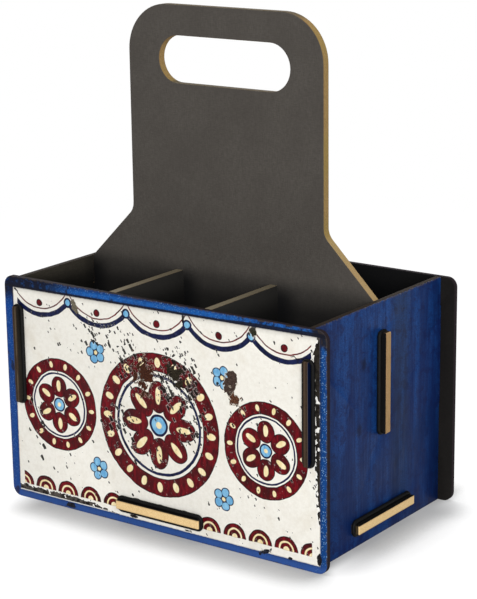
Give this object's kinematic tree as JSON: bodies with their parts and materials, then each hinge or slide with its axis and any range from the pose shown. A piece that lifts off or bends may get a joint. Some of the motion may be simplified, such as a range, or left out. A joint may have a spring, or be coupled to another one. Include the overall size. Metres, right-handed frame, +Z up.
{
  "type": "bottle caddy",
  "caption": "Flat-pack bottle carrier of slotted boards with crossed dividers and a tall centre handle panel, its tabs locked by rubber rings.",
  "frame": {"origin": "on the floor under the middle of the caddy", "axes": "+Z up, -Y out of the printed front panel, +X to the right seen from the front"},
  "size_m": [0.235, 0.1518, 0.3035],
  "materials": {
    "printed_board": "worn printed enamel look with a blue border, satin",
    "blue_board": "worn blue print, satin",
    "dark_board": "dark painted faces with raw tan edges, matt",
    "ring_rubber": "matt black rubber"
  },
  "bodies": {
    "root": {"front_panel": "printed_board", "back_panel": "printed_board", "left_panel": "blue_board", "right_panel": "blue_board", "base_panel": "dark_board", "handle_panel": "dark_board", "divider_left": "dark_board", "divider_right": "dark_board", "ring_front_left": "ring_rubber", "ring_front_right": "ring_rubber", "ring_front_base": "ring_rubber", "ring_back_left": "ring_rubber", "ring_back_right": "ring_rubber", "ring_back_base": "ring_rubber", "ring_left_handle": "ring_rubber", "ring_left_base": "ring_rubber", "ring_right_handle": "ring_rubber", "ring_right_base": "ring_rubber"}
  },
  "joints": []
}
